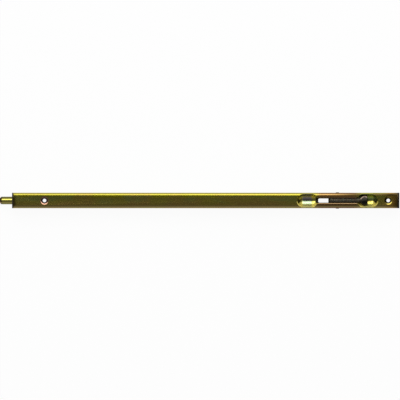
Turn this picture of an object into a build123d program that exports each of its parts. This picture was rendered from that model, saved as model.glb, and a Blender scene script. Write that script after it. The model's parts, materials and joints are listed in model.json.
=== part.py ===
from build123d import *
import os
from math import asin, cos, pi, sin

# Lever flush bolt for the edge of a double door, in millimetres.
# +X runs from the bolt's tip towards the lever end, +Z out of the face,
# and the case stands on the edges of its side walls at Z = 0.

# Case: one folded sheet, open at the back
CASE_LENGTH = 400.0
CASE_WIDTH = 16.0
CASE_DEPTH = 18.0
SHEET = 1.5
BEND_RADIUS = 2.8
CORNER_SEAM = 0.3
SEAM_HEIGHT = CASE_DEPTH - BEND_RADIUS - 0.6
BOLT_THROW = 13.0

CASE_START = -(CASE_LENGTH - BOLT_THROW) / 2
CASE_END = CASE_START + CASE_LENGTH
FACE_INSIDE = CASE_DEPTH - SHEET
HALF_WIDTH = CASE_WIDTH / 2
WALL_INSIDE = HALF_WIDTH - SHEET

# Screw holes: countersinks pressed into the face
SCREW_FROM_START = 33.5
SCREW_SPACING = 355.0
SCREW_HOLE_RADIUS = 1.8
COUNTERSINK_RADIUS = 4.6
COUNTERSINK_DEPTH = COUNTERSINK_RADIUS - SCREW_HOLE_RADIUS
SCREW_LAND = 0.8
DIMPLE_SKIN = 1.7

FIRST_SCREW_X = CASE_START + SCREW_FROM_START
SCREW_XS = (FIRST_SCREW_X, FIRST_SCREW_X + SCREW_SPACING)

# Pivot of the lever, riveted across the case
PIVOT_X = CASE_START + 336.0
PIVOT_Z = 14.0
PIN_RADIUS = 1.5
PIN_HEAD_RADIUS = 1.85
PIN_HEAD_HEIGHT = 0.45
PIN_HOLE_RADIUS = PIN_RADIUS + 0.02

# Finger wells, alike on both sides of the pivot; distances are from the pivot
WELL_RADIUS = 6.6
WELL_AXIS_Z = CASE_DEPTH - 0.75
WELL_FLOOR_Z = WELL_AXIS_Z - WELL_RADIUS
WELL_INNER = 26.7
WELL_OUTER = 34.7
WELL_SKIN = 1.2
WELL_WALL_LEAN = 2.4 / (CASE_DEPTH - WELL_FLOOR_Z)
RIM_DEPTH = 0.8
RIM_STEPS = ((0.5, 0.1), (0.4, 0.4))

# Slot that the lever's arm swings through, with rolled edges
SLOT_HALF_WIDTH = 2.3
SLOT_REACH = 22.45
SLOT_CORNER = 0.8
SLOT_LIP = 1.2

# Lever: crank, arm and head, laid towards +X when the bolt is thrown
CRANK = BOLT_THROW / 2
TRUNNION_RADIUS = 2.3
TRUNNION_HALF_LENGTH = 5.2
SHORT_END_RADIUS = 2.5
HUB_RADIUS = 2.6
LEVER_BORE = PIN_RADIUS + 0.05
ARM_HALF_WIDTH = 2.15
ARM_EDGE = 1.0
NECK_HALF_HEIGHT = 2.1
HEAD_CENTRE = 27.9
HEAD_RADIUS = 4.95
HEAD_END = 31.1
HEAD_HALF_HEIGHT = 2.7
HEAD_RIM_HALF_HEIGHT = 1.0
HEAD_EDGE = 0.7

# Moving bolt: round nose, flat drive bar and a strip yoke round the lever
NOSE_RADIUS = 4.0
NOSE_AXIS_Z = 6.0
NOSE_LENGTH = 30.0
NOSE_TIP_RADIUS = 2.6
NOSE_TAPER = 2.0
NOSE_EDGE = 0.8
NOSE_SAW_CUT = 8.0
NOSE_HOLE_RADIUS = NOSE_RADIUS + 0.08
NOSE_RIVET_RADIUS = 1.25
BAR_THICKNESS = 2.0
BAR_HALF_WIDTH = 4.8
TONGUE_HALF_WIDTH = 3.4
TENON_HALF_WIDTH = 1.9
BAR_SLOT_HALF_WIDTH = 2.5
BAR_SLOT_SPARE = 0.4

YOKE_INSIDE = 2.6
YOKE_STRIP = 2.0
YOKE_OUTSIDE = YOKE_INSIDE + YOKE_STRIP
YOKE_BEND = 1.0
YOKE_CROTCH = -19.9
YOKE_BOTTOM_Z = 2.0
YOKE_BEND_TOP_Z = 8.6
YOKE_RISE_START = -17.5
YOKE_TOP_Z = PIVOT_Z - PIN_RADIUS - 0.2
YOKE_END = 0.5
HORN_WIDTH = 2.1
HORN_EDGE = 0.6
NOTCH_HALF_WIDTH = 3.9
NOTCH_BOTTOM_Z = 5.0

TIP_X = CASE_START - BOLT_THROW
NOSE_REAR_X = TIP_X + NOSE_LENGTH
TONGUE_X = NOSE_REAR_X - NOSE_SAW_CUT
NOSE_RIVET_X = NOSE_REAR_X - NOSE_SAW_CUT / 2
BAR_LOW_Z = NOSE_AXIS_Z - BAR_THICKNESS / 2
BAR_HIGH_Z = NOSE_AXIS_Z + BAR_THICKNESS / 2
TENON_END_X = PIVOT_X + YOKE_CROTCH
TENON_START_X = TENON_END_X - YOKE_STRIP

# Guides that carry the drive bar under the face, and its brake spring
GUIDE_SHEET = 1.2
GUIDE_GAP = 0.2
GUIDE_BOTTOM_Z = 2.5
GUIDE_TAB = 9.0
GUIDE_CORNER = 1.15
GUIDE_HALF_WIDTH = WALL_INSIDE - GUIDE_GAP
FRONT_GUIDE_X = CASE_START + 62.0
REAR_GUIDE_X = CASE_START + 284.0
SPRING_X = CASE_START + 132.0
SPRING_STRIP = 0.6
SPRING_WIDTH = 7.0
SPRING_FOOT = 14.0
SPRING_REACH = 76.0
SPRING_FREE_DROP = 0.8
SPRING_GAP = 0.15


def along_x(radius, start, end, z, y=0):
    """A round bar along X, from start to end."""
    bar = Cylinder(radius, end - start, rotation=(0, 90, 0))
    return Pos((start + end) / 2, y, z) * bar


def across(radius, half_length, x, z):
    """A round bar across the case, centred on its width."""
    return Pos(x, 0, z) * Cylinder(radius, 2 * half_length, rotation=(90, 0, 0))


def upright(radius, low, high, x):
    """A round bar along Z."""
    return Pos(x, 0, (low + high) / 2) * Cylinder(radius, high - low)


def block(x_low, x_high, half_width, z_low, z_high):
    """A box that is centred on the case's width."""
    size = Box(x_high - x_low, 2 * half_width, z_high - z_low)
    return Pos((x_low + x_high) / 2, 0, (z_low + z_high) / 2) * size


def plate_across(face, half_width):
    """A face drawn in X and Z, thickened to both sides of the centre plane."""
    return extrude(Plane.XZ * face, amount=half_width, both=True)


# Case


def folded_shell():
    """The face with its two long walls and two end flaps folded down."""
    outer = block(CASE_START, CASE_END, HALF_WIDTH, 0, CASE_DEPTH)
    outer = fillet(outer.edges().group_by(Axis.Z)[-1], BEND_RADIUS)
    inner = block(CASE_START + SHEET, CASE_END - SHEET, WALL_INSIDE, -SHEET, FACE_INSIDE)
    inner = fillet(inner.edges().group_by(Axis.Z)[-1], BEND_RADIUS - SHEET)
    return outer - inner


def corner_seams():
    """The open mitres where an end flap meets a wall, below the bends."""
    cut = Box(4 * SHEET, CORNER_SEAM, SEAM_HEIGHT + 1)
    middle_z = (SEAM_HEIGHT - 1) / 2
    seams = []
    for x, inward in ((CASE_START, 1), (CASE_END, -1)):
        for side in (1, -1):
            centre = Pos(x + inward * SHEET / 2, side * (HALF_WIDTH - SHEET / 2), middle_z)
            seams.append(centre * Rot(0, 0, -45 * inward * side) * cut)
    return seams


def well_shape(extra):
    """A finger well on the +X side of the pivot, grown by extra on every side.

    It is a round trough with a ball end away from the pivot. The end near the
    pivot is round in plan, and its wall leans back from the rim to the floor.
    """
    radius = WELL_RADIUS + extra
    near = WELL_INNER - radius
    low = WELL_AXIS_Z - radius
    top = CASE_DEPTH + 1
    trough = along_x(radius, near, WELL_OUTER, WELL_AXIS_Z)
    trough += block(near, WELL_OUTER, radius, WELL_AXIS_Z, top)
    lean = make_face(
        Polyline(
            (near, CASE_DEPTH),
            (near, top),
            (WELL_OUTER, top),
            (WELL_OUTER, low),
            (near + WELL_WALL_LEAN * (CASE_DEPTH - low), low),
            close=True,
        )
    )
    plan = upright(radius, low, top, WELL_INNER)
    plan += block(WELL_INNER, WELL_OUTER, radius, low, top)
    ball_end = Pos(WELL_OUTER, 0, WELL_AXIS_Z) * Sphere(radius)
    ball_end += upright(radius, WELL_AXIS_Z, top, WELL_OUTER)
    return (trough & plate_across(lean, radius) & plan) + ball_end


def well_rim():
    """The flare that eases a well's rim into the face, in two slopes."""
    middle = (WELL_INNER + WELL_OUTER) / 2
    reach = WELL_OUTER - WELL_INNER
    radius, low = WELL_RADIUS, CASE_DEPTH - RIM_DEPTH
    flare = []
    for height, spread in RIM_STEPS:
        lower = Pos(middle, 0, low) * SlotCenterToCenter(reach, 2 * radius)
        upper = Pos(middle, 0, low + height) * SlotCenterToCenter(reach, 2 * (radius + spread))
        flare.append(loft([lower, upper], ruled=True))
        radius, low = radius + spread, low + height
    return flare[0] + flare[1]


def on_both_sides(shape):
    """A shape drawn from the pivot towards +X, and its mirror image."""
    return Pos(PIVOT_X, 0, 0) * (shape + mirror(shape, about=Plane.YZ))


def slot_cut():
    """The long slot for the arm, which also opens the near walls of both wells."""
    outline = RectangleRounded(2 * SLOT_REACH, 2 * SLOT_HALF_WIDTH, SLOT_CORNER)
    low = WELL_FLOOR_Z - 2 * WELL_SKIN
    slot = Pos(0, 0, low) * extrude(outline, amount=CASE_DEPTH + 1 - low)
    lip_y = SLOT_HALF_WIDTH + SLOT_LIP
    lip_z = CASE_DEPTH - SLOT_LIP
    flare = block(-SLOT_REACH, SLOT_REACH, lip_y, lip_z, CASE_DEPTH)
    for side in (1, -1):
        flare -= along_x(SLOT_LIP, -SLOT_REACH, SLOT_REACH, lip_z, side * lip_y)
    return Pos(PIVOT_X, 0, 0) * (slot + flare)


def screw_dimple():
    """The sheet pressed down under one countersink."""
    low = CASE_DEPTH - COUNTERSINK_DEPTH
    bottom = low - SCREW_LAND
    top = CASE_DEPTH - SHEET / 2
    outline = Polyline(
        (0, bottom),
        (SCREW_HOLE_RADIUS + DIMPLE_SKIN / 2, bottom),
        (SCREW_HOLE_RADIUS + DIMPLE_SKIN, low),
        (COUNTERSINK_RADIUS + DIMPLE_SKIN - SHEET / 2, top),
        (0, top),
        close=True,
    )
    return revolve(Plane.XZ * make_face(outline), Axis.Z)


def screw_hole():
    """A countersink whose flank rolls from the face into a short straight hole."""
    low = CASE_DEPTH - COUNTERSINK_DEPTH
    bottom = low - SCREW_LAND - 1
    flank_middle = COUNTERSINK_DEPTH * (1 - cos(pi / 4))
    flank = ThreePointArc(
        (SCREW_HOLE_RADIUS, low),
        (SCREW_HOLE_RADIUS + flank_middle, CASE_DEPTH - flank_middle),
        (COUNTERSINK_RADIUS, CASE_DEPTH),
    )
    rest = Polyline(
        flank @ 1,
        (COUNTERSINK_RADIUS, CASE_DEPTH + 1),
        (0, CASE_DEPTH + 1),
        (0, bottom),
        (SCREW_HOLE_RADIUS, bottom),
        flank @ 0,
    )
    return revolve(Plane.XZ * make_face(flank + rest), Axis.Z)


def case():
    """The whole folded case with its wells, slot and holes."""
    half_sheet = SHEET / 2
    within = block(
        CASE_START + half_sheet,
        CASE_END - half_sheet,
        HALF_WIDTH - half_sheet,
        0,
        CASE_DEPTH - half_sheet,
    )
    within = fillet(within.edges().group_by(Axis.Z)[-1], BEND_RADIUS - half_sheet)
    body = folded_shell() + (on_both_sides(well_shape(WELL_SKIN)) & within)
    for x in SCREW_XS:
        body += Pos(x, 0, 0) * screw_dimple()
    body -= on_both_sides(well_shape(0) + well_rim())
    for x in SCREW_XS:
        body -= Pos(x, 0, 0) * screw_hole()
    body -= slot_cut()
    body -= corner_seams()
    body -= along_x(NOSE_HOLE_RADIUS, CASE_START - 1, CASE_START + SHEET + 1, NOSE_AXIS_Z)
    body -= across(PIN_HOLE_RADIUS, CASE_WIDTH, PIVOT_X, PIVOT_Z)
    return body


# Lever and its pin


def lever_arm():
    """The crank, hub and arm, with their long edges rounded, about the pivot."""
    lean = asin((HUB_RADIUS - SHORT_END_RADIUS) / CRANK)
    upper = (-CRANK - SHORT_END_RADIUS * sin(lean), SHORT_END_RADIUS * cos(lean))
    lower = (upper[0], -upper[1])
    hub_x = -HUB_RADIUS * sin(lean)
    hub_y = HUB_RADIUS * cos(lean)
    web = make_face(Polyline(upper, (hub_x, hub_y), (hub_x, -hub_y), lower, close=True))
    arm = make_face(
        Polyline(
            (0, HUB_RADIUS),
            (HEAD_CENTRE, NECK_HALF_HEIGHT),
            (HEAD_CENTRE, -NECK_HALF_HEIGHT),
            (0, -HUB_RADIUS),
            close=True,
        )
    )
    outline = Circle(HUB_RADIUS) + Pos(-CRANK, 0) * Circle(SHORT_END_RADIUS) + web + arm
    solid = plate_across(outline, ARM_HALF_WIDTH)
    return fillet(solid.faces().filter_by(Axis.Y).edges(), ARM_EDGE)


def lever_head():
    """The thumb piece: round towards the arm, straight across its free end."""
    crown_drop = HEAD_HALF_HEIGHT - HEAD_RIM_HALF_HEIGHT
    crown_radius = (HEAD_RADIUS**2 + crown_drop**2) / (2 * crown_drop)
    offset = crown_radius - HEAD_HALF_HEIGHT
    near = HEAD_CENTRE - HEAD_RADIUS
    upper = along_x(crown_radius, near, HEAD_END, -offset)
    lower = along_x(crown_radius, near, HEAD_END, offset)
    plan = upright(HEAD_RADIUS, -HEAD_RADIUS, HEAD_RADIUS, HEAD_CENTRE)
    plan += block(HEAD_CENTRE, HEAD_END, HEAD_RADIUS, -HEAD_RADIUS, HEAD_RADIUS)
    head = upper & lower & plan
    return chamfer(head.edges(), HEAD_EDGE)


def lever():
    """Crank, arm and head in one casting, with its two cast trunnions."""
    body = lever_arm() + lever_head()
    body += across(TRUNNION_RADIUS, TRUNNION_HALF_LENGTH, -CRANK, 0)
    body -= across(LEVER_BORE, CASE_WIDTH, 0, 0)
    return Pos(PIVOT_X, 0, PIVOT_Z) * body


def pivot_pin():
    """The pin with a low peened head outside each wall."""
    rise = PIN_HEAD_HEIGHT
    outline = Polyline(
        (0, 0),
        (PIN_RADIUS, 0),
        (PIN_RADIUS, HALF_WIDTH),
        (PIN_HEAD_RADIUS, HALF_WIDTH),
        (PIN_HEAD_RADIUS, HALF_WIDTH + rise / 3),
        (PIN_HEAD_RADIUS - rise, HALF_WIDTH + rise),
        (0, HALF_WIDTH + rise),
        close=True,
    )
    half_pin = revolve(Plane.XZ * make_face(outline), Axis.Z)
    pin = half_pin + mirror(half_pin, about=Plane.XY)
    return Pos(PIVOT_X, 0, PIVOT_Z) * Rot(90, 0, 0) * pin


# Moving bolt


def bolt_nose():
    """The round bolt that shows: tapered tip, and a saw cut for the drive bar."""
    taper_x = TIP_X + NOSE_TAPER
    nose = along_x(NOSE_RADIUS, taper_x, NOSE_REAR_X, NOSE_AXIS_Z)
    tip = Cone(NOSE_TIP_RADIUS, NOSE_RADIUS, NOSE_TAPER, rotation=(0, 90, 0))
    nose += Pos(TIP_X + NOSE_TAPER / 2, 0, NOSE_AXIS_Z) * tip
    rings = nose.edges().filter_by(GeomType.CIRCLE).group_by(Axis.X)
    nose = fillet(rings[0] + rings[1], NOSE_EDGE)
    nose -= block(TONGUE_X, NOSE_REAR_X + 1, 2 * NOSE_RADIUS, BAR_LOW_Z, BAR_HIGH_Z)
    nose -= upright(NOSE_RIVET_RADIUS, 0, CASE_DEPTH, NOSE_RIVET_X)
    return nose


def nose_rivet():
    """The rivet, dressed off flush with the round of the nose."""
    shank = upright(NOSE_RIVET_RADIUS, 0, CASE_DEPTH, NOSE_RIVET_X)
    return shank & along_x(NOSE_RADIUS, TIP_X, NOSE_REAR_X, NOSE_AXIS_Z)


def strip(x_low, x_high, half_width):
    """A flat stretch of the drive bar, in plan."""
    return Pos((x_low + x_high) / 2, 0) * Rectangle(x_high - x_low, 2 * half_width)


def drive_bar():
    """The flat bar, with a tongue, a slot that clears the screw, and a tenon."""
    plan = strip(NOSE_REAR_X, TENON_START_X, BAR_HALF_WIDTH)
    plan += strip(TONGUE_X, NOSE_REAR_X, TONGUE_HALF_WIDTH)
    plan += strip(TENON_START_X, TENON_END_X, TENON_HALF_WIDTH)
    clear = SCREW_HOLE_RADIUS + BAR_SLOT_SPARE
    slot_start = FIRST_SCREW_X - BOLT_THROW - clear
    slot_end = FIRST_SCREW_X + clear
    slot = SlotOverall(slot_end - slot_start, 2 * BAR_SLOT_HALF_WIDTH)
    plan -= Pos((slot_start + slot_end) / 2, 0) * slot
    plan -= Pos(NOSE_RIVET_X, 0) * Circle(NOSE_RIVET_RADIUS)
    return Pos(0, 0, BAR_LOW_Z) * extrude(plan, amount=BAR_THICKNESS)


def yoke_side():
    """Side view of a yoke ear: low at the bend, notched round the trunnion."""
    back = YOKE_CROTCH - YOKE_STRIP
    horn_start = -CRANK - NOTCH_HALF_WIDTH - HORN_WIDTH
    outline = make_face(
        Polyline(
            (back, YOKE_BOTTOM_Z),
            (YOKE_END, YOKE_BOTTOM_Z),
            (YOKE_END, YOKE_TOP_Z),
            (horn_start, YOKE_TOP_Z),
            (YOKE_RISE_START, YOKE_BEND_TOP_Z),
            (back, YOKE_BEND_TOP_Z),
            close=True,
        )
    )
    round_z = NOTCH_BOTTOM_Z + NOTCH_HALF_WIDTH
    mouth_height = YOKE_TOP_Z + 1 - round_z
    notch = Pos(-CRANK, round_z) * Circle(NOTCH_HALF_WIDTH)
    notch += Pos(-CRANK, round_z + mouth_height / 2) * Rectangle(2 * NOTCH_HALF_WIDTH, mouth_height)
    outline -= notch
    tips = outline.vertices().group_by(Axis.Y)[-1]
    return fillet(tips, HORN_EDGE)


def yoke_plan(half_width, back, bend):
    """A U in plan, open towards +X, with its two back corners rounded."""
    front = YOKE_END + 1
    outline = strip(back, front, half_width)
    return fillet(outline.vertices().group_by(Axis.X)[0], bend)


def yoke():
    """A strip on edge bent to a U round the lever, both ears notched from above."""
    outside = yoke_plan(YOKE_OUTSIDE, YOKE_CROTCH - YOKE_STRIP, YOKE_BEND + YOKE_STRIP)
    inside = yoke_plan(YOKE_INSIDE, YOKE_CROTCH, YOKE_BEND)
    body = extrude(outside - inside, amount=CASE_DEPTH)
    body &= plate_across(yoke_side(), CASE_WIDTH)
    back = YOKE_CROTCH - YOKE_STRIP
    body -= block(back - 1, YOKE_CROTCH + 1, TENON_HALF_WIDTH, BAR_LOW_Z, BAR_HIGH_Z)
    return Pos(PIVOT_X, 0, 0) * body


# Guides and brake


def guide(x, towards):
    """A folded bracket with a window for the drive bar, welded under the face."""
    half_sheet = GUIDE_SHEET / 2
    plate = block(x - half_sheet, x + half_sheet, GUIDE_HALF_WIDTH, GUIDE_BOTTOM_Z, FACE_INSIDE)
    top_corners = plate.edges().filter_by(Axis.X).group_by(Axis.Z)[-1]
    plate = chamfer(top_corners, GUIDE_CORNER)
    start = min(x, x + towards * GUIDE_TAB)
    tab_width = GUIDE_HALF_WIDTH - GUIDE_CORNER
    tab = block(start, start + GUIDE_TAB, tab_width, FACE_INSIDE - GUIDE_SHEET, FACE_INSIDE)
    window = block(
        x - GUIDE_SHEET,
        x + GUIDE_SHEET,
        BAR_HALF_WIDTH + GUIDE_GAP,
        BAR_LOW_Z - GUIDE_GAP,
        BAR_HIGH_Z + GUIDE_GAP,
    )
    return plate + tab - window


def brake_spring():
    """A bowed strip, welded at its foot, whose bow presses on the drive bar."""
    top = FACE_INSIDE - SPRING_STRIP / 2
    lowest = BAR_HIGH_Z + SPRING_GAP + SPRING_STRIP / 2
    foot_x = SPRING_X + SPRING_FOOT
    free_x = SPRING_X + SPRING_REACH
    bow = ThreePointArc(
        (foot_x, 0, top),
        ((foot_x + free_x) / 2, 0, lowest),
        (free_x, 0, top - SPRING_FREE_DROP),
    )
    start = Plane(bow @ 0, x_dir=(0, 1, 0), z_dir=bow % 0)
    foot = block(SPRING_X, foot_x, SPRING_WIDTH / 2, FACE_INSIDE - SPRING_STRIP, FACE_INSIDE)
    return foot + sweep(start * Rectangle(SPRING_WIDTH, SPRING_STRIP), path=bow)


def trunnion_play():
    """How far a steady ratio of slide to turn leaves the trunnion's circle."""
    turn = asin(2 / pi)
    return CRANK * (2 * turn / pi - (1 - cos(turn)))


def build():
    """Every piece by its name."""
    return {
        "case": case(),
        "front_guide": guide(FRONT_GUIDE_X, 1),
        "rear_guide": guide(REAR_GUIDE_X, -1),
        "brake_spring": brake_spring(),
        "pivot_pin": pivot_pin(),
        "lever": lever(),
        "bolt_nose": bolt_nose(),
        "nose_rivet": nose_rivet(),
        "drive_bar": drive_bar(),
        "yoke": yoke(),
    }


os.makedirs("parts", exist_ok=True)
for name, piece in build().items():
    export_step(piece, f"parts/{name}.step")
spare = NOTCH_HALF_WIDTH - TRUNNION_RADIUS - trunnion_play()
print("The trunnion leaves its circle by", round(trunnion_play(), 3), "mm,")
print("and the notch keeps", round(spare, 3), "mm clear of it.")
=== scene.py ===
import json
import math

import bmesh
import bpy
from mathutils import Matrix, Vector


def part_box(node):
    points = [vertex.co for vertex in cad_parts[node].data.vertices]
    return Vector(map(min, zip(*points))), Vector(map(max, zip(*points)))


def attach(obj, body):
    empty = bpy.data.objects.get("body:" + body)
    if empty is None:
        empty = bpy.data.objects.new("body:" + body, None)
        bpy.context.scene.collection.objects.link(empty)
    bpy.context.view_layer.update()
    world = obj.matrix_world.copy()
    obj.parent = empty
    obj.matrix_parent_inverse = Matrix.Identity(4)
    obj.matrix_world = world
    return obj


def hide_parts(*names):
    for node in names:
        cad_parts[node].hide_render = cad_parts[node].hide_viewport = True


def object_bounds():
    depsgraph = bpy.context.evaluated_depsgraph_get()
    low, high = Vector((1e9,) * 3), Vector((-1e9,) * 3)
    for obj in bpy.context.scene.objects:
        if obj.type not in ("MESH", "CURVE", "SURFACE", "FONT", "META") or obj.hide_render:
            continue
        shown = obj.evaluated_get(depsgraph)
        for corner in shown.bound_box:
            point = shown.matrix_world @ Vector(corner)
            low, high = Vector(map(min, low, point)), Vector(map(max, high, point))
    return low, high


bl_info = {
    "name": "Lever flush bolt",
    "version": (1, 0, 0),
    "blender": (4, 5, 0),
    "location": "3D View > Sidebar > Flush bolt",
    "description": "Gives a lever flush bolt its plated, cast and welded finishes",
    "category": "Object",
}

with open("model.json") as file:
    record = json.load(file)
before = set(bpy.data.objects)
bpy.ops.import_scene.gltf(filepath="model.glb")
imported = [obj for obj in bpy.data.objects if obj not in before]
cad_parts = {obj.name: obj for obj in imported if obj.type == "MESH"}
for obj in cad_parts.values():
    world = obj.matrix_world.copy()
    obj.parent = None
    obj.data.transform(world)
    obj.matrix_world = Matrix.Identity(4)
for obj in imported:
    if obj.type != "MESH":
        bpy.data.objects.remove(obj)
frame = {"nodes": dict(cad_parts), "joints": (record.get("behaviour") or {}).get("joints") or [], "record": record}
CAD_BOX = [list(corner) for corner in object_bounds()]

# The frame and every length in Blender are in metres, and the finishes work in
# millimetres of the frame
MM = 0.001
CASE_LOW, CASE_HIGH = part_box("case")
FACE_Z = CASE_HIGH.z

# Places read from the frame, in millimetres: the bolt's tip, both ends of the case, its
# face, the lever's pin and the middle of the screw holes, with the bolt's throw and how
# far each screw hole is from their middle
TIP_X = CAD_BOX[0][0] / MM
CASE_START, CASE_END = CASE_LOW.x / MM, CASE_HIGH.x / MM
FACE = FACE_Z / MM
PIN_X, _, PIN_Z = [part / MM for part in frame["joints"][0]["pos_m"]]
THROW = frame["joints"][1]["range_m"][1] / MM
SCREWS = frame["record"]["mounts"][0]
SCREW_MIDDLE = SCREWS["pos_m"][0] / MM
SCREW_REACH = SCREWS["dims"]["spacing_x_mm"] / 2

# Sizes that the frame doesn't state, in millimetres. Distances along the case are from
# the pin: both ends of a well's middle line, the slot's end and the middle of the
# lever's head. The others are the sheet's thickness, how far a well's film reaches out
# and down, and the height of the middle of the yoke's notch
WELL_INNER, WELL_OUTER = 26.7, 34.7
SLOT_END = 22.0
HEAD_CENTRE = 27.9
SHEET = 1.5
WELL_RADIUS, WELL_DEPTH = 7.0, 8.1
NOTCH_Z = 8.9

# Spot welds of each piece, in millimetres: the way inwards from its welded end, how far
# in from that end, how far off the middle line, and the thickness of its sheet
WELDS = {
    "front_guide": (1, 5.6, 3.0, 1.2),
    "rear_guide": (-1, 5.6, 3.0, 1.2),
    "brake_spring": (1, 7.0, 1.9, 0.6),
}
# A spot weld's section, in shares of its radius and its height
WELD_SECTION = ((0.0, 0.45), (0.5, 0.55), (0.72, 1.0), (0.88, 0.7), (1.0, 0.0), (1.0, -0.3))
# A staked lug's section, in millimetres out and shares of its height, and its place
# either side of the middle line in millimetres
STAKE_SECTION = ((0.0, 0.8), (0.45, 1.0), (0.8, 0.85), (1.05, 0.3), (1.1, -0.1))
STAKE_OFFSET = 0.9

# The lit gap on the floor under the slot, in millimetres: its two ends from the pin, its
# middle across, its half width and the radius of its corners
GAP_START, GAP_END = -19.7, -9.15
GAP_MIDDLE, GAP_HALF, GAP_CORNER = -0.08, 2.12, 1.7
# The share of plain white in what the camera and reflections see of the floor, and the
# floor's reach and its drop below the case in metres
FLOOR_WHITE = 0.95
FLOOR_REACH = 4.0
FLOOR_DROP = 0.1 * MM


class Field:
    """An output of a shader node that Python's operators can work with."""

    def __init__(self, nodes, socket):
        self.nodes = nodes
        self.socket = socket

    def __add__(self, other):
        return self.nodes.combine("ADD", self, other)

    def __radd__(self, other):
        return self.nodes.combine("ADD", other, self)

    def __sub__(self, other):
        return self.nodes.combine("SUBTRACT", self, other)

    def __rsub__(self, other):
        return self.nodes.combine("SUBTRACT", other, self)

    def __mul__(self, other):
        return self.nodes.combine("MULTIPLY", self, other)

    def __rmul__(self, other):
        return self.nodes.combine("MULTIPLY", other, self)

    def __pow__(self, other):
        return self.nodes.combine("POWER", self, other)

    def __abs__(self):
        return self.nodes.node("ShaderNodeMath", {"operation": "ABSOLUTE"}, {0: self})


class ShaderNodes:
    """The nodes of a material or of the world, emptied and filled again."""

    def __init__(self, owner):
        owner.use_nodes = True
        self.tree = owner.node_tree
        self.tree.nodes.clear()

    def axes(self, vector):
        """The three parts of a vector."""
        parts = self.tree.nodes.new("ShaderNodeSeparateXYZ")
        self.feed(parts.inputs[0], vector)
        return [Field(self, parts.outputs[axis]) for axis in "XYZ"]

    def feed(self, socket, value):
        """Links a field to a socket, or sets a plain value on it."""
        if isinstance(value, Field):
            self.tree.links.new(value.socket, socket)
        elif socket.type == "RGBA":
            socket.default_value = (*value, 1.0)
        else:
            socket.default_value = value

    def node(self, kind, settings=(), inputs=(), output=0):
        """Adds a node of a kind: its settings first, then values or links of its sockets."""
        made = self.tree.nodes.new(kind)
        for name, value in dict(settings).items():
            setattr(made, name, value)
        for key, value in dict(inputs).items():
            self.feed(made.inputs[key], value)
        return None if output is None else Field(self, made.outputs[output])

    def combine(self, operation, first, second):
        """First and second through a Vector Math node if either is a vector, else Math."""
        kind = "ShaderNodeMath"
        for part in (first, second):
            if isinstance(part, tuple):
                kind = "ShaderNodeVectorMath"
            if isinstance(part, Field) and part.socket.type in ("VECTOR", "RGBA"):
                kind = "ShaderNodeVectorMath"
        return self.node(kind, {"operation": operation}, {0: first, 1: second})

    def mix(self, first, second, share):
        """The colour first, turning to second as share goes from 0 to 1."""
        settings = {"data_type": "RGBA", "clamp_factor": True}
        return self.node("ShaderNodeMix", settings, {0: share, 6: first, 7: second}, output=2)

    def step(self, value, low, high):
        """Eases from 0 to 1 as value goes from low to high."""
        inputs = {"Value": value, "From Min": low, "From Max": high}
        return self.node("ShaderNodeMapRange", {"interpolation_type": "SMOOTHSTEP"}, inputs)

    def band(self, value, low, high, soft):
        """Is 1 while value is between low and high, with soft ends."""
        return self.step(value, low - soft, low) * (1 - self.step(value, high, high + soft))


class Finish(ShaderNodes):
    """A material for one finish of the bolt, placed in millimetres of the frame."""

    def __init__(self, name):
        self.material = bpy.data.materials.new(name)
        super().__init__(self.material)
        self.place = self.node("ShaderNodeTexCoord", output="Object") * (1 / MM, 1 / MM, 1 / MM)
        self.x, self.y, self.z = self.axes(self.place)

    def noise(self, scale, detail, shift, distortion=0.0):
        """Noise with so many features a millimetre along each axis."""
        vector = self.place * scale + (shift, shift, shift)
        inputs = {"Vector": vector, "Scale": 1.0, "Detail": detail, "Distortion": distortion}
        return self.node("ShaderNodeTexNoise", {}, inputs)

    def pits(self, scale, shift):
        """Round cells, dark at their middles, so many a millimetre along each axis."""
        vector = self.place * scale + (shift, shift, shift)
        inputs = {"Vector": vector, "Scale": 1.0}
        return self.node("ShaderNodeTexVoronoi", {"feature": "F1"}, inputs)

    def bump(self, height, depth, strength):
        """A normal from a height between 0 and 1, with its depth in millimetres."""
        inputs = {"Height": height, "Distance": depth * MM, "Strength": strength}
        return self.node("ShaderNodeBump", {}, inputs)

    def done(self, colour, roughness, normal, metallic=1.0):
        """Feeds the principled shader and returns the material."""
        values = {
            "Base Color": colour,
            "Roughness": roughness,
            "Metallic": metallic,
            "Normal": normal,
        }
        shader = self.node("ShaderNodeBsdfPrincipled", {}, values)
        self.node("ShaderNodeOutputMaterial", {}, {"Surface": shader}, output=None)
        return self.material


class CaseFinish(Finish):
    """The case's finish, which also knows how far a point is from the case's features."""

    def __init__(self, name):
        super().__init__(name)
        self.along = abs(self.x - PIN_X)
        self.sideways = abs(self.y)
        self.depth = FACE - self.z
        self.near_slot = self.step(self.along, 24.0, 16.0)
        self.lever_side = self.step(self.x, PIN_X - 1.0, PIN_X + 1.0)
        self.lever_end = self.step(self.x, CASE_END - 20.0, CASE_END - 8.0)


# Shapes


def turned(name, section, centre, steps=32):
    """A turned piece about +Z: its section has radius and height pairs, from the middle out."""
    mesh = bpy.data.meshes.new(name)
    form = bmesh.new()
    middle = form.verts.new((0.0, 0.0, section[0][1]))
    turns = [2 * math.pi * step / steps for step in range(steps)]
    rings = []
    for radius, height in section[1:]:
        places = [(radius * math.cos(turn), radius * math.sin(turn), height) for turn in turns]
        rings.append([form.verts.new(place) for place in places])
    for step in range(steps):
        form.faces.new((middle, rings[0][step - 1], rings[0][step]))
        for inner, outer in zip(rings, rings[1:]):
            form.faces.new((inner[step - 1], outer[step - 1], outer[step], inner[step]))
    form.faces.new(reversed(rings[-1]))
    bmesh.ops.recalc_face_normals(form, faces=form.faces)
    bmesh.ops.transform(form, matrix=centre, verts=form.verts)
    form.to_mesh(mesh)
    form.free()
    piece = bpy.data.objects.new(name, mesh)
    bpy.context.scene.collection.objects.link(piece)
    mesh.shade_smooth()
    return piece


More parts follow.
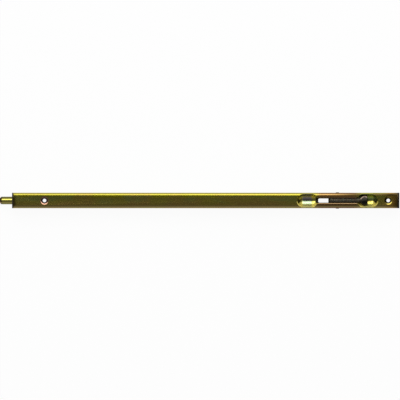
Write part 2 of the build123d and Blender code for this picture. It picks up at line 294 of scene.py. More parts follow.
def break_edges(piece, width):
    """Joins a node's facets, shades them smoothly and breaks its sharp edges."""
    mesh = piece.data
    if "custom_normal" in mesh.attributes:
        mesh.attributes.remove(mesh.attributes["custom_normal"])
    mesh.shade_smooth()
    weld = piece.modifiers.new("Weld", "WELD")
    weld.merge_threshold = 0.003 * MM
    merge = piece.modifiers.new("Merge", "DECIMATE")
    merge.decimate_type = "DISSOLVE"
    merge.angle_limit = math.radians(0.4)
    bevel = piece.modifiers.new("Break", "BEVEL")
    bevel.width = width
    bevel.segments = 2
    bevel.limit_method = "ANGLE"
    bevel.angle_limit = math.radians(32)
    bevel.harden_normals = True
    bevel.miter_outer = "MITER_ARC"


def finished(name, material, width):
    """Puts a finish on a node of the frame, and breaks its edges."""
    piece = frame["nodes"][name]
    piece.data.materials.clear()
    piece.data.materials.append(material)
    break_edges(piece, width)


# Finishes


def passivate(finish, look):
    """Olive passivate on zinc, golden beside the +Y bend and browner towards -Y.

    It is faintly clouded, and lined along the sheet. Returns colour, roughness and height.
    """
    clouds = finish.noise((0.05, 0.16, 0.16), 3.0, 3.0, 0.6)
    drift = finish.noise((0.035, 0.08, 0.08), 2.0, 19.0, 0.4)
    lines = finish.noise((0.08, 5.0, 5.0), 2.0, 7.0)
    specks = finish.noise((1.6, 1.6, 1.6), 3.0, 31.0)
    tilt = 0.012 * finish.y
    golden = 0.9 * finish.band(finish.y, 3.6, 5.2, 1.0)
    greener = 0.55 * finish.step(clouds + tilt, 0.46, 0.66) * finish.step(finish.y, 5.6, 4.8)
    browner = 0.42 * finish.step(drift - tilt, 0.45, 0.62) + 0.3 * finish.step(finish.y, 0.5, -4.0)
    colour = finish.mix(look.plate, look.gold, golden)
    colour = finish.mix(colour, look.green, greener)
    colour = finish.mix(colour, look.brown, browner)
    colour = colour * (0.80 + 0.22 * lines + 0.18 * specks)
    roughness = look.plate_roughness + 0.06 * (lines - 0.5) + 0.10 * (specks - 0.5)
    height = 0.6 * lines + 0.4 * specks
    return colour, roughness, height


def slot_film_and_light(finish, look, colour):
    """Red brown round the slot and tan on its rolled lips, with painted highlight and painted shade along its +Y
    side.
    """
    walls = finish.step(finish.sideways, 7.2, 7.8) * finish.step(finish.depth, 2.0, 9.0)
    colour = finish.mix(colour, look.slot_tint, 0.92 * finish.near_slot * (1 - walls))
    lip = finish.band(finish.sideways, 2.0, 3.7, 0.3)
    lip = lip * finish.step(finish.along, SLOT_END + 1.0, SLOT_END)
    lip = lip * finish.step(finish.depth, SHEET + 0.1, SHEET - 0.2)
    colour = finish.mix(colour, look.slot_lip, lip)
    # Painted highlight and painted shade: a paler line and a darker line beside the +Y bend near the slot
    paler = 0.7 * finish.band(finish.y, 3.7, 4.4, 0.4)
    darker = 0.4 * finish.band(finish.y, 4.9, 5.4, 0.3)
    colour = colour * (1 + finish.near_slot * (paler - darker))
    # rubbed marks a painted reflection here: the +Y bend's highlight mixed paler near the slot
    rubbed = 0.25 * finish.near_slot * finish.band(finish.y, 5.8, 6.8, 0.3)
    return finish.mix(colour, look.pale_reflection, rubbed)


def bend_film(finish, look, colour):
    """Brown at the lever end, a painted pale reflection on the -Y bend, and painted shade on the +Y bend past the
    slot.
    """
    colour = finish.mix(colour, look.end_brown, 0.75 * finish.lever_end)
    # rubbed marks a painted reflection here: the pale colour on the -Y bend
    rubbed = 0.9 * finish.band(finish.y, -6.4, -5.5, 0.5) * (1 - 0.5 * finish.lever_end)
    colour = finish.mix(colour, look.pale_reflection, rubbed)
    colour = colour * (1 - 0.35 * finish.step(finish.y, -6.3, -6.7))
    # Painted shade: the +Y bend's highlight dimmed past the slot, and more at the lever end
    bend = finish.band(finish.y, 5.3, 6.8, 0.4) * finish.step(finish.x, PIN_X - 16.0, PIN_X + 24.0)
    colour = finish.mix(colour, look.painted_shade, 0.95 * bend)
    return colour * (1 - 0.62 * bend * finish.lever_end)


def well_tint(finish, look, reach, middle, lower):
    """Film on a well's slopes: mint and violet in the left one, yellow and green in the right, with painted shade
    and a painted highlight.

    reach is the distance from the well's middle line, middle is 1 between the well's round
    ends and lower is 1 on its -Y side.
    """
    upper = finish.step(finish.y, -0.6, 0.8)
    left = finish.mix(look.well_end, look.left_well, middle)
    left_upper = finish.mix(look.well_end, look.left_well_upper, middle)
    left = finish.mix(left, left_upper, upper)
    right = finish.mix(look.right_well, look.right_well_upper, upper)
    tint = finish.mix(left, right, finish.lever_side)
    # Painted shade at the well's outer round end and along its +Y slope
    outer = finish.step(finish.along + finish.y, 36.8, 38.4) * finish.step(finish.y, 2.2, 0.4)
    dark = 0.6 * outer + 0.3 * finish.band(finish.y, 4.2, 5.2, 0.6)
    tint = finish.mix(tint, look.painted_shade, dark)
    tint = finish.mix(tint, look.well_end, 0.6 * finish.step(finish.y, 5.4, 6.0))
    # Painted highlight: a brighter band across the -Y slope
    painted_glint = 0.9 * lower * finish.step(reach, 2.2, 3.4) * finish.step(reach, 4.6, 4.0)
    return tint * (1 + painted_glint)


def well_film_and_light(finish, look, colour, roughness):
    """The wells' film, with a painted yellow highlight, made matt, on the -Y slopes and rim.

    It is dull at the wells' round ends, and painted shade makes it near black where the slot
    begins. Returns colour, roughness, metallic and where the wells are.
    """
    along = finish.along
    limits = {"Value": along, "Min": WELL_INNER, "Max": WELL_OUTER}
    nearest = finish.node("ShaderNodeClamp", {}, limits)
    reach = ((along - nearest) ** 2.0 + finish.y**2.0) ** 0.5
    well = finish.step(reach, WELL_RADIUS + 0.3, WELL_RADIUS) * finish.step(finish.depth, 0.1, 0.5)
    well = well * finish.step(finish.depth, WELL_DEPTH + 0.3, WELL_DEPTH)
    middle = finish.band(along, 27.5, 35.0, 2.0)
    lower = finish.step(finish.y, -0.2, -1.8)
    tint = well_tint(finish, look, reach, middle, lower)
    clouds = finish.noise((0.25, 0.35, 0.35), 3.0, 23.0, 0.5)
    # Painted highlight: matt yellow on the -Y slope and rim, brighter gold at the round ends
    rolled = finish.mix(look.well_corner_highlight, look.well_rim_highlight, middle)
    matt = lower * finish.step(reach, 3.1, 4.1) * finish.step(along + finish.y, 37.6, 36.0)
    rim = lower * finish.band(reach, 6.2, 7.3, 0.3) * finish.step(along, 22.5, 24.5)
    # Painted shade: a darker ring on the -Y slope
    ring = lower * middle * finish.band(reach - 0.95 * finish.lever_side, 4.5, 5.1, 0.3)
    tint = finish.mix(tint, rolled, 0.85 * matt) * (0.82 + 0.36 * clouds) * (1 - 0.4 * ring)
    colour = finish.mix(finish.mix(colour, tint, well), rolled, 0.8 * rim)
    # Painted shade: near black where the slot begins in the wells
    mouth = finish.band(along, 20.0, 22.2, 0.8) * finish.step(finish.sideways, 3.1, 2.5)
    colour = colour * (1 - 0.85 * mouth)
    # worn marks the painted highlights, which are made matt and less metallic
    worn = matt * well + rim
    ends = finish.step(abs(along - (WELL_INNER + WELL_OUTER) / 2), 5.2, 7.4)
    ends = ends * finish.step(finish.y, -1.5, 0.5) * well
    return colour, roughness + 0.28 * worn, 1 - 0.62 * worn - 0.3 * ends, well


def screw_film_and_shade(finish, look, colour):
    """Copper in the left countersink and yellow in the right, with painted shade towards their holes.

    The right one has painted shade towards -X too.
    """
    left, right = SCREW_MIDDLE - SCREW_REACH, SCREW_MIDDLE + SCREW_REACH
    for x, tint, shade in ((left, look.left_screw_tint, 0.0), (right, look.right_screw_tint, 0.8)):
        reach_squared = (finish.x - x) ** 2.0 + finish.y**2.0
        cone = finish.step(reach_squared, 22.6, 20.8) * finish.step(finish.depth, 0.0, 0.05)
        colour = finish.mix(colour, tint, cone)
        # Painted shade on the inner part of each countersink
        colour = colour * (1 - 0.8 * cone * finish.step(reach_squared, 12.0, 9.0))
        # Painted shade on the -X side of the right countersink
        colour = colour * (1 - shade * cone * finish.step(finish.x, x - 0.4, x - 2.0))
    return colour


def end_painted_shade(finish, look, colour):
    """Painted shade, darker towards both ends and near black on the end bends. Returns colour and the bends."""
    left, right = finish.x - CASE_START, CASE_END - finish.x
    corner = 2.6 * finish.step(finish.sideways, 4.6, 7.0)
    # Painted shade that deepens towards both ends
    fade = 0.9 * finish.step(left + corner, 5.4, 1.6)
    fade = fade + 0.6 * finish.step(right, 9.0, 3.0) + 0.35 * finish.step(right, 3.2, 2.2)
    # Painted shade, near black, on both end bends
    edge = finish.step(left, 1.5, 0.8) + finish.step(right, 2.0, 1.2)
    edge = edge * finish.step(finish.depth, 3.2, 2.6)
    colour = finish.mix(colour, look.painted_shade, fade)
    return finish.mix(colour, look.end_bend_shade, edge), edge


def case_finish(look):
    """Case: passivate, with other films and painted highlights and shade at its slot, bends, wells, screw holes
    and ends.
    """
    finish = CaseFinish("case_passivate_and_painted_light")
    colour, roughness, height = passivate(finish, look)
    colour = slot_film_and_light(finish, look, colour)
    colour = bend_film(finish, look, colour)
    colour, roughness, metallic, well = well_film_and_light(finish, look, colour, roughness)
    colour = screw_film_and_shade(finish, look, colour)
    back = finish.step(finish.depth, SHEET - 0.2, SHEET + 0.1)
    back = back * finish.step(finish.sideways, 6.7, 6.4) * (1 - well)
    colour = finish.mix(colour, look.inside, 0.75 * back)
    colour, edge = end_painted_shade(finish, look, colour)
    roughness = roughness + 0.14 * back + 0.7 * edge
    normal = finish.bump(height, 0.006, 0.6)
    return finish.done(colour, roughness, normal, metallic * (1 - 0.8 * edge))


def bracket_finish(look):
    """Guides: the same passivate, duller, because they are inside the case."""
    finish = Finish("bracket_passivate")
    colour, roughness, height = passivate(finish, look)
    colour = finish.mix(colour, look.inside, 0.5)
    return finish.done(colour, roughness + 0.12, finish.bump(height, 0.012, 0.6))


def bolt_finish(look):
    """Nose: drawn bar with a bright yellow passivate, turning marks and painted shade at its tip, and a painted
    highlight and painted shade along its sides.
    """
    finish = Finish("drawn_bar_passivate_and_painted_light")
    colour, roughness, height = passivate(finish, look)
    colour = finish.mix(colour, look.bolt, 0.75)
    tip = finish.step(finish.x, TIP_X + 3.2, TIP_X + 1.2)
    rings = finish.noise((7.0, 0.0, 0.0), 2.0, 5.0)
    # Painted shade, dark brown, on the tip's rounded end
    colour = finish.mix(colour, look.bolt_tip_shade, tip)
    rubbed = finish.band(finish.x, TIP_X + 12.0, TIP_X + 26.0, 1.5)
    scuffs = finish.step(finish.noise((0.3, 4.0, 4.0), 3.0, 13.0), 0.52, 0.66)
    colour = finish.mix(colour, look.bare_steel, 0.45 * rubbed * scuffs)
    # Painted highlight low on the -Y side
    colour = finish.mix(colour, look.pale_reflection, 0.5 * finish.band(finish.y, -2.5, -1.8, 0.4))
    # Painted shade along both flanks
    flanks = finish.step(finish.y, 1.2, 1.9) + finish.step(finish.y, -2.6, -3.2)
    colour = colour * (1 - 0.7 * flanks)
    roughness = roughness - 0.04 + 0.18 * tip
    return finish.done(colour, roughness, finish.bump(height + tip * rings, 0.010, 0.6))


def middle_x(name):
    """The middle of a node along the bolt, in millimetres."""
    low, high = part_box(name)
    return (low.x + high.x) / 2 / MM


def bar_finish(look):
    """Drive bar: rolled flat, dull passivate, rubbed bright where the guides and spring run."""
    finish = Finish("rolled_bar_passivate")
    colour, roughness, height = passivate(finish, look)
    spring_x = middle_x("brake_spring")
    rub = finish.band(finish.x, spring_x - 8.0, spring_x + 6.0, 4.0)
    rub = rub * finish.step(abs(finish.y), 3.6, 3.2)
    for guide_x in (middle_x("front_guide"), middle_x("rear_guide")):
        rub = rub + finish.band(finish.x, guide_x - 14.0, guide_x + 3.0, 4.0)
    scuffs = finish.step(finish.noise((0.2, 3.0, 3.0), 3.0, 41.0), 0.44, 0.6)
    colour = finish.mix(colour, look.bare_steel, 0.7 * rub * scuffs)
    return finish.done(colour, roughness + 0.08 - 0.05 * rub, finish.bump(height, 0.015, 0.7))


def casting_finish(look):
    """Lever: die casting under a dark grained finish, worn in spots, with painted shade towards -Y.

    Its head is darker too, with a painted pinkish highlight on its rim's +Y side.
    """
    finish = Finish("dark_casting_and_painted_light")
    grain = finish.noise((2.2, 2.2, 2.2), 4.0, 2.0)
    cells = finish.pits((3.2, 3.2, 3.2), 9.0)
    broad = finish.noise((0.22, 0.3, 0.3), 2.0, 14.0)
    mottle = finish.noise((1.1, 1.4, 1.4), 2.0, 27.0)
    colour = finish.mix(look.casting, look.casting_green, finish.step(broad, 0.40, 0.66))
    worn = finish.step(grain, 0.56, 0.72)
    spots = finish.step(mottle, 0.50, 0.66)
    colour = finish.mix(colour, look.casting_worn, 0.3 * worn + 0.45 * spots)
    reach_squared = (finish.x - PIN_X - HEAD_CENTRE) ** 2.0 + finish.y**2.0
    colour = colour * (1 - 0.7 * finish.step(reach_squared, 15.0, 10.0))
    # Painted shade towards -Y
    colour = colour * (0.88 - 0.42 * finish.step(finish.y, 0.3, -1.2))
    # Painted highlight: pinkish on the head's rim, on its +Y side
    rim = finish.band(reach_squared, 15.0, 25.0, 2.0) * finish.step(finish.y, 1.0, 2.4)
    colour = finish.mix(colour, look.head_rim_highlight, 0.8 * rim)
    roughness = 0.30 + 0.25 * grain - 0.06 * worn
    height = 0.55 * grain + 0.45 * cells
    return finish.done(colour, roughness, finish.bump(height, 0.05, 0.7), 0.85)


def yoke_finish(look):
    """Yoke: dark strip, polished inside its notch by the lever's trunnions; its near black is partly painted
    shade.
    """
    finish = Finish("dark_strip")
    flow = finish.noise((0.4, 2.6, 2.6), 3.0, 6.0)
    specks = finish.noise((3.0, 3.0, 3.0), 3.0, 25.0)
    reach_squared = (finish.x - PIN_X + THROW / 2) ** 2.0 + (finish.z - NOTCH_Z) ** 2.0
    polished = finish.step(reach_squared, 19.5, 16.5)
    colour = finish.mix(look.strip, look.casting_worn, 0.1 * flow + 0.3 * polished)
    roughness = 0.34 + 0.2 * specks - 0.12 * polished
    return finish.done(colour, roughness, finish.bump(flow * 0.6 + specks * 0.4, 0.02, 0.7))


def spring_finish(look):
    """Brake spring: blued strip that runs to straw near its weld."""
    finish = Finish("blued_strip")
    drift = finish.noise((0.10, 0.3, 0.3), 3.0, 8.0)
    lines = finish.noise((0.1, 7.0, 7.0), 2.0, 12.0)
    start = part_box("brake_spring")[0].x / MM
    foot = finish.step(finish.x, start + 22.0, start + 12.0)
    colour = finish.mix(look.blued, look.straw, 0.35 * drift + 0.65 * foot)
    colour = colour * (0.85 + 0.3 * lines)
    return finish.done(colour, 0.22 + 0.14 * lines, finish.bump(lines, 0.006, 0.6))


def peened_finish(look, name, centre_x, centre_z):
    """Pin and rivet ends: hammered bright steel, darker away from the centre."""
    finish = Finish(name)
    dents = finish.pits((1.5, 1.5, 1.5), 4.0)
    fine = finish.noise((5.0, 5.0, 5.0), 3.0, 17.0)
    reach_squared = (finish.x - centre_x) ** 2.0 + (finish.z - centre_z) ** 2.0
    rim = finish.step(reach_squared, 1.6, 3.2)
    colour = finish.mix(look.pin, look.pin_dark, 0.35 * fine + 0.6 * rim)
    normal = finish.bump(dents * 0.7 + fine * 0.3, 0.03, 0.7)
    return finish.done(colour, 0.26 + 0.22 * fine, normal)


def weld_finish(look):
    """Spot welds: grey, blotched with the blue and straw of their heat."""
    finish = Finish("spot_weld")
    fine = finish.noise((3.5, 3.5, 3.5), 4.0, 21.0)
    colour = finish.mix(look.weld, look.straw, finish.step(fine, 0.42, 0.62))
    colour = finish.mix(colour, look.blued, finish.step(fine, 0.56, 0.76))
    return finish.done(colour, 0.38 + 0.2 * fine, finish.bump(fine, 0.03, 0.8))


# What a user may change


def colour_choice(name, description, default):
    """A linear colour that a user may change."""
    return bpy.props.FloatVectorProperty(
        name=name,
        description=description,
        subtype="COLOR",
        size=3,
        min=0.0,
        max=1.0,
        default=default,
    )


def length_choice(name, description, default):
    """A length that a user may change."""
    return bpy.props.FloatProperty(
        name=name, description=description, unit="LENGTH", min=0.0, default=default
    )


def place_choice(name, description, default):
    """A place on one axis that a user may change."""
    return bpy.props.FloatProperty(
        name=name, description=description, unit="LENGTH", default=default
    )


def level_choice(name, description, default):
    """A plain number from 0 up that a user may change."""
    return bpy.props.FloatProperty(name=name, description=description, min=0.0, default=default)


class BoltLook(bpy.types.PropertyGroup):
    """Colours and gloss of the finishes, and of their painted highlights and shade."""

    plate: colour_choice("Plate", "Olive of the passivated case", (0.365, 0.322, 0.050))
    gold: colour_choice("Plate, gold", "Gold of the plate towards +Y", (0.385, 0.345, 0.010))
    green: colour_choice("Plate, green", "Green that clouds the plate", (0.270, 0.325, 0.095))
    brown: colour_choice("Plate, brown", "Brown that clouds the plate", (0.400, 0.255, 0.070))
    # Dark brown painted as shade on the +Y bend, in the wells and at the ends
    painted_shade: colour_choice("Painted shade", "Dark brown painted where shade falls", (0.055, 0.038, 0.013))
    # A pale colour painted as reflection on the -Y bend, on the +Y bend beside the slot and low on the bolt
    pale_reflection: colour_choice("Lower bend", "Pale reflection painted on the bends and the bolt", (0.560, 0.430, 0.180))
    end_brown: colour_choice("Lever end", "Brown at the lever end", (0.450, 0.240, 0.040))
    # Painted shade, near black, on both end bends
    end_bend_shade: colour_choice("End bends", "Near black of both end bends", (0.018, 0.012, 0.005))
    slot_tint: colour_choice("Slot", "Red brown round the slot", (0.245, 0.112, 0.034))
    slot_lip: colour_choice("Slot lips", "Tan of the slot's rolled lips", (0.210, 0.135, 0.062))
    left_well: colour_choice("Left well", "Mint on its -Y slope", (0.300, 0.375, 0.235))
    left_well_upper: colour_choice(
        "Left well, upper", "Violet grey on its +Y slope", (0.270, 0.245, 0.255)
    )
    right_well: colour_choice("Right well", "Yellow on its -Y slope", (0.420, 0.360, 0.085))
    right_well_upper: colour_choice(
        "Right well, upper", "Green on its +Y slope", (0.290, 0.370, 0.110)
    )
    well_end: colour_choice(
        "Well ends", "Yellow at both ends of the left well", (0.400, 0.370, 0.080)
    )
    # Painted highlights: matt yellow on the wells' -Y slopes and rims, brighter gold at their round ends
    well_rim_highlight: colour_choice("Well rims", "Painted matt yellow highlight on a well's -Y slope and rim", (0.500, 0.455, 0.130))
    well_corner_highlight: colour_choice(
        "Well corners", "Brighter gold of a rim at the well's corners", (0.720, 0.600, 0.120)
    )
    left_screw_tint: colour_choice(
        "Left countersink", "Copper pink of its flank", (0.400, 0.220, 0.150)
    )
    right_screw_tint: colour_choice(
        "Right countersink", "Yellow of its flank", (0.400, 0.320, 0.070)
    )
    inside: colour_choice("Inside", "Duller plate inside the case", (0.230, 0.205, 0.095))
    bolt: colour_choice("Bolt", "Bright yellow of the drawn bolt", (0.440, 0.400, 0.090))
    # Painted shade on the bolt's tip
    bolt_tip_shade: colour_choice("Bolt tip", "Dark brown of the bolt's tip", (0.085, 0.035, 0.018))
    bare_steel: colour_choice("Bare steel", "Steel where parts rub", (0.520, 0.480, 0.370))
    casting: colour_choice("Lever", "Near black of the lever", (0.072, 0.056, 0.036))
    casting_green: colour_choice("Lever, green", "Dark green patches", (0.055, 0.066, 0.045))
    casting_worn: colour_choice("Lever, worn", "Grey where it is worn", (0.300, 0.275, 0.200))
    # Painted highlight on the head's rim
    head_rim_highlight: colour_choice("Lever's head", "Pinkish rim of the head", (0.420, 0.300, 0.230))
    # Near black, partly the strip's own colour and partly painted shade
    strip: colour_choice("Yoke", "Dark strip of the yoke", (0.030, 0.026, 0.020))
    blued: colour_choice("Blued spring", "Blue of the brake spring", (0.080, 0.100, 0.200))
    straw: colour_choice("Straw", "Straw heat colour near welds", (0.420, 0.300, 0.100))
    pin: colour_choice("Pin", "Peened end of the pin", (0.120, 0.100, 0.060))
    pin_dark: colour_choice("Pin, dark", "Dark ring of the pin's end", (0.035, 0.028, 0.020))
    weld: colour_choice("Weld", "Grey of a spot weld", (0.300, 0.280, 0.255))
    plate_roughness: bpy.props.FloatProperty(
        name="Plate roughness",
        description="Gloss of the plate",
        subtype="FACTOR",
        min=0.0,
        max=1.0,
        default=0.19,
    )


class BoltSizes(bpy.types.PropertyGroup):
    """Sizes of what the finishes add to the frame's pieces."""

    sheet_edge: length_choice("Sheet edge", "Width of a broken edge on sheet", 0.12 * MM)
    bar_edge: length_choice("Bar edge", "Width of a broken edge on bars and pins", 0.15 * MM)
    grain: length_choice("Casting grain", "Size of the steps the lever is cast in", 0.16 * MM)
    weld_radius: length_choice("Weld radius", "Radius of a spot weld", 1.8 * MM)
    weld_height: length_choice("Weld height", "How far a spot weld stands proud", 0.2 * MM)
    stake_height: length_choice("Stake height", "How far a staked lug stands proud", 0.3 * MM)


class StageSetup(bpy.types.PropertyGroup):
    """Camera, lamp and studio light."""

    frame_width: length_choice("Frame width", "Width that the camera sees on the face", 0.4129)
    frame_x: place_choice("Frame centre X", "Middle of the picture", 0.0006)
    frame_y: place_choice("Frame centre Y", "Middle of the picture", 0.0005)
    camera_height: length_choice("Camera height", "Camera above the face", 8.0)
    key_strength: level_choice("Key lamp", "Brightness of the long lamp", 2.6)
    key_tilt: level_choice("Key tilt", "Degrees from the vertical towards +Y", 33.0)
    key_distance: length_choice("Key distance", "From the middle of the face", 1.2)
    key_length: length_choice("Key length", "Along the bolt", 1.5)
    key_width: length_choice("Key width", "Across the bolt", 0.9)
    overhead: level_choice("Overhead", "Studio light from above", 0.127)
    upper_side: level_choice("Light from +Y", "Studio light low over the +Y side", 1.25)
    lower_side: level_choice("Light from -Y", "Studio light low over the -Y side", 0.36)


# Operators


class DressCase(bpy.types.Operator):
    """Finish the folded case, its wells, slot and countersinks"""

    bl_idname = "flush_bolt.dress_case"
    bl_label = "Case"

    def execute(self, context):
        material = case_finish(context.scene.bolt_look)
        finished("case", material, context.scene.bolt_sizes.sheet_edge)
        return {"FINISHED"}


class DressGuides(bpy.types.Operator):
    """Finish the two guide brackets inside the case"""

    bl_idname = "flush_bolt.dress_guides"
    bl_label = "Guides"

    def execute(self, context):
        material = bracket_finish(context.scene.bolt_look)
        for name in ("front_guide", "rear_guide"):
            finished(name, material, context.scene.bolt_sizes.sheet_edge)
        return {"FINISHED"}


class DressBrakeSpring(bpy.types.Operator):
    """Finish the bowed brake spring"""

    bl_idname = "flush_bolt.dress_brake_spring"
    bl_label = "Brake spring"

    def execute(self, context):
        material = spring_finish(context.scene.bolt_look)
        width = context.scene.bolt_sizes.sheet_edge / 2
        finished("brake_spring", material, width)
        return {"FINISHED"}


class DressPivotPin(bpy.types.Operator):
    """Finish the lever's pin with its peened ends"""

    bl_idname = "flush_bolt.dress_pivot_pin"
    bl_label = "Pivot pin"

    def execute(self, context):
        material = peened_finish(context.scene.bolt_look, "peened_pin", PIN_X, PIN_Z)
        width = context.scene.bolt_sizes.bar_edge / 3
        finished("pivot_pin", material, width)
        return {"FINISHED"}


class CastLever(bpy.types.Operator):
    """Cast the lever with every edge run soft, in place of its plain solid"""

    bl_idname = "flush_bolt.cast_lever"
    bl_label = "Lever"

    def execute(self, context):
        plain = frame["nodes"]["lever"]
        source = bpy.data.objects.new("lever_blank", plain.data.copy())
        context.scene.collection.objects.link(source)
        remesh = source.modifiers.new("Grain", "REMESH")
        remesh.mode = "VOXEL"
        remesh.voxel_size = context.scene.bolt_sizes.grain
        smooth = source.modifiers.new("Soft", "SMOOTH")
        smooth.factor = 0.5
        smooth.iterations = 3
        evaluated = source.evaluated_get(context.evaluated_depsgraph_get())
        mesh = bpy.data.meshes.new_from_object(evaluated)
        bpy.data.objects.remove(source)
        if not mesh.polygons:
            raise RuntimeError("the lever's casting came out empty")
        mesh.materials.clear()
        mesh.materials.append(casting_finish(context.scene.bolt_look))
        mesh.shade_smooth()
        casting = bpy.data.objects.new("lever_casting", mesh)
        context.scene.collection.objects.link(casting)
        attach(casting, "lever")
        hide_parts("lever")
        return {"FINISHED"}


class DressBoltNose(bpy.types.Operator):
    """Finish the round nose of the bolt and its rivet"""

    bl_idname = "flush_bolt.dress_bolt_nose"
    bl_label = "Bolt nose"

    def execute(self, context):
        look = context.scene.bolt_look
        width = context.scene.bolt_sizes.bar_edge
        finished("bolt_nose", bolt_finish(look), width)
        low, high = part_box("nose_rivet")
        middle = (low + high) / 2 / MM
        material = peened_finish(look, "dressed_rivet", middle.x, middle.z)
        finished("nose_rivet", material, width / 3)
        return {"FINISHED"}


class DressDriveBar(bpy.types.Operator):
    """Finish the flat drive bar"""

    bl_idname = "flush_bolt.dress_drive_bar"
    bl_label = "Drive bar"

    def execute(self, context):
        material = bar_finish(context.scene.bolt_look)
        finished("drive_bar", material, context.scene.bolt_sizes.bar_edge)
        return {"FINISHED"}


class DressYoke(bpy.types.Operator):
    """Finish the yoke, and stake the drive bar's tenon over in its bend"""

    bl_idname = "flush_bolt.dress_yoke"
    bl_label = "Yoke"

    def execute(self, context):
        sizes = context.scene.bolt_sizes
        material = yoke_finish(context.scene.bolt_look)
        finished("yoke", material, sizes.sheet_edge)
        bar_low, bar_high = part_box("drive_bar")
        middle_z = (bar_low.z + bar_high.z) / 2
        section = [(radius * MM, share * sizes.stake_height) for radius, share in STAKE_SECTION]
        outwards = Matrix.Rotation(math.pi / 2, 4, "Y")
        for name, way in (("tenon_stake_left", 1), ("tenon_stake_right", -1)):
            at = (bar_high.x, way * STAKE_OFFSET * MM, middle_z)
            stake = turned(name, section, Matrix.Translation(at) @ outwards)
            stake.data.materials.append(bpy.data.materials["rolled_bar_passivate"])
            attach(stake, "bolt")
        return {"FINISHED"}


class AddSpotWelds(bpy.types.Operator):
    """Add the spot welds that hold the guides and the brake spring under the face"""

    bl_idname = "flush_bolt.add_spot_welds"
    bl_label = "Spot welds"

    def execute(self, context):
        radius = context.scene.bolt_sizes.weld_radius
        height = context.scene.bolt_sizes.weld_height
        section = [(out * radius, share * height) for out, share in WELD_SECTION]
        material = weld_finish(context.scene.bolt_look)
        down = Matrix.Rotation(math.pi, 4, "X")
        for name, (inwards, inset, offset, sheet) in WELDS.items():
            low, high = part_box(name)
            end = low.x if inwards > 0 else high.x
            for side, way in (("left", 1), ("right", -1)):
                at = (end + inwards * inset * MM, way * offset * MM, high.z - sheet * MM)
                weld = turned(f"{name}_weld_{side}", section, Matrix.Translation(at) @ down)
                weld.data.materials.append(material)
                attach(weld, "case")
        return {"FINISHED"}


def slot_shade(finish):
    """Where the floor under the slot is shaded: all of it but a lit gap, rounded at its start."""
    along = finish.x - PIN_X
    beyond = finish.combine("MAXIMUM", GAP_START + GAP_CORNER - along, 0.0)
    above = finish.combine("MAXIMUM", abs(finish.y - GAP_MIDDLE) - GAP_HALF + GAP_CORNER, 0.0)
    corner = (beyond**2.0 + above**2.0) ** 0.5
    gap = finish.step(corner, GAP_CORNER + 0.1, GAP_CORNER - 0.1)
    gap = gap * finish.step(along, GAP_END + 0.1, GAP_END - 0.1)
    under = finish.band(along, -24.0, 26.0, 1.0) * finish.step(abs(finish.y), 5.0, 4.0)
    return under * (1 - gap)


def stage_floor():
    """A wide floor that shows nearly white, keeps a soft shadow, and is shaded under the slot."""
    mesh = bpy.data.meshes.new("floor")
    form = bmesh.new()
    bmesh.ops.create_grid(form, x_segments=4, y_segments=4, size=FLOOR_REACH)
    bmesh.ops.translate(form, vec=(0, 0, CASE_LOW.z - FLOOR_DROP), verts=form.verts)
    form.to_mesh(mesh)
    form.free()
    floor = bpy.data.objects.new("floor", mesh)
    bpy.context.scene.collection.objects.link(floor)
    finish = Finish("pale_floor")
    rays = finish.tree.nodes.new("ShaderNodeLightPath")
    seen = Field(finish, rays.outputs["Is Camera Ray"])
    for kind in ("Is Glossy Ray", "Is Transmission Ray"):
        seen = finish.combine("MAXIMUM", seen, Field(finish, rays.outputs[kind]))
    share = seen * FLOOR_WHITE * (1 - slot_shade(finish))
    matt = finish.node("ShaderNodeBsdfDiffuse", {}, {"Color": (0.86, 0.86, 0.86)})
    white = finish.node("ShaderNodeEmission", {}, {"Color": (1.0, 1.0, 1.0), "Strength": 1.0})
    mixed = finish.node("ShaderNodeMixShader", {}, {0: share, 1: matt, 2: white})
    finish.node("ShaderNodeOutputMaterial", {}, {"Surface": mixed}, output=None)
    mesh.materials.append(finish.material)


def stage_lamp(setup):
    """A soft rectangular key lamp on the +Y side."""
    tilt = math.radians(setup.key_tilt)
    lamp = bpy.data.lights.new("key", "AREA")
    lamp.shape = "RECTANGLE"
    lamp.size = setup.key_length
    lamp.size_y = setup.key_width
    lamp.energy = setup.key_strength * setup.key_length * setup.key_width * math.pi
    holder = bpy.data.objects.new("key", lamp)
    bpy.context.scene.collection.objects.link(holder)
    out, up = setup.key_distance * math.sin(tilt), setup.key_distance * math.cos(tilt)
    holder.location = (0, out, FACE_Z + up)
    holder.rotation_euler = (-tilt, 0, 0)


def stage_world(setup):
    """Studio light: dim overhead and past both ends, brighter low over the long sides."""
    world = bpy.data.worlds.new("studio")
    bpy.context.scene.world = world
    nodes = ShaderNodes(world)
    x, y, z = nodes.axes(nodes.node("ShaderNodeTexCoord", output="Generated"))
    low = nodes.step(z, 0.975, 0.66)
    side = setup.lower_side + (setup.upper_side - setup.lower_side) * nodes.step(y, -0.3, 0.3)
    strength = setup.overhead + low * (side - setup.overhead)
    strength = strength * (1 - 0.95 * nodes.step(abs(x), 0.45, 0.8))
    inputs = {"Color": (1.0, 1.0, 1.0), "Strength": strength}
    light = nodes.node("ShaderNodeBackground", {}, inputs)
    nodes.node("ShaderNodeOutputWorld", {}, {"Surface": light}, output=None)


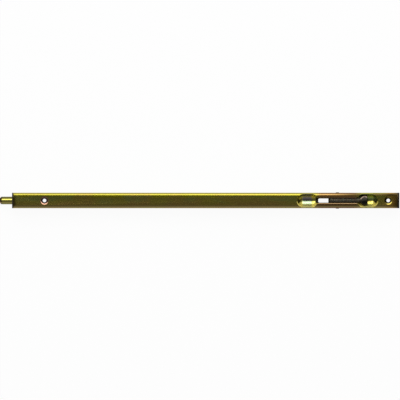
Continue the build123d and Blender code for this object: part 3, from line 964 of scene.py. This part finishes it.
class SetStage(bpy.types.Operator):
    """Set the floor, the lamp, the studio light and the camera"""

    bl_idname = "flush_bolt.set_stage"
    bl_label = "Stage"

    def execute(self, context):
        setup = context.scene.stage_setup
        stage_floor()
        stage_world(setup)
        stage_lamp(setup)
        lens = bpy.data.cameras.new("camera")
        lens.sensor_width = 36.0
        lens.lens = lens.sensor_width * setup.camera_height / setup.frame_width
        lens.clip_end = 20.0
        camera = bpy.data.objects.new("camera", lens)
        context.scene.collection.objects.link(camera)
        camera.location = (setup.frame_x, setup.frame_y, FACE_Z + setup.camera_height)
        context.scene.camera = camera
        context.scene.view_settings.view_transform = "Standard"
        return {"FINISHED"}


class BoltPanel(bpy.types.Panel):
    """Panel with each step of the bolt's finishing"""

    bl_idname = "VIEW3D_PT_flush_bolt"
    bl_label = "Flush bolt"
    bl_space_type = "VIEW_3D"
    bl_region_type = "UI"
    bl_category = "Flush bolt"

    def draw(self, context):
        for step in STEPS:
            self.layout.operator(step.bl_idname)
        for group in GROUPS:
            settings = getattr(context.scene, group)
            box = self.layout.box()
            for name in settings.__annotations__:
                box.prop(settings, name)


GROUPS = {"bolt_look": BoltLook, "bolt_sizes": BoltSizes, "stage_setup": StageSetup}
STEPS = (
    DressCase,
    DressGuides,
    DressBrakeSpring,
    DressPivotPin,
    CastLever,
    DressBoltNose,
    DressDriveBar,
    DressYoke,
    AddSpotWelds,
    SetStage,
)


def register():
    """Adds the classes and their settings to Blender."""
    for name, group in GROUPS.items():
        bpy.utils.register_class(group)
        setattr(bpy.types.Scene, name, bpy.props.PointerProperty(type=group))
    for step in (*STEPS, BoltPanel):
        bpy.utils.register_class(step)


def unregister():
    """Takes the classes and their settings out again."""
    for step in reversed((*STEPS, BoltPanel)):
        bpy.utils.unregister_class(step)
    for name, group in GROUPS.items():
        delattr(bpy.types.Scene, name)
        bpy.utils.unregister_class(group)


def main():
    """Runs every step in order."""
    register()
    for step in STEPS:
        family, name = step.bl_idname.split(".")
        getattr(getattr(bpy.ops, family), name)()


if __name__ == "__main__":
    main()
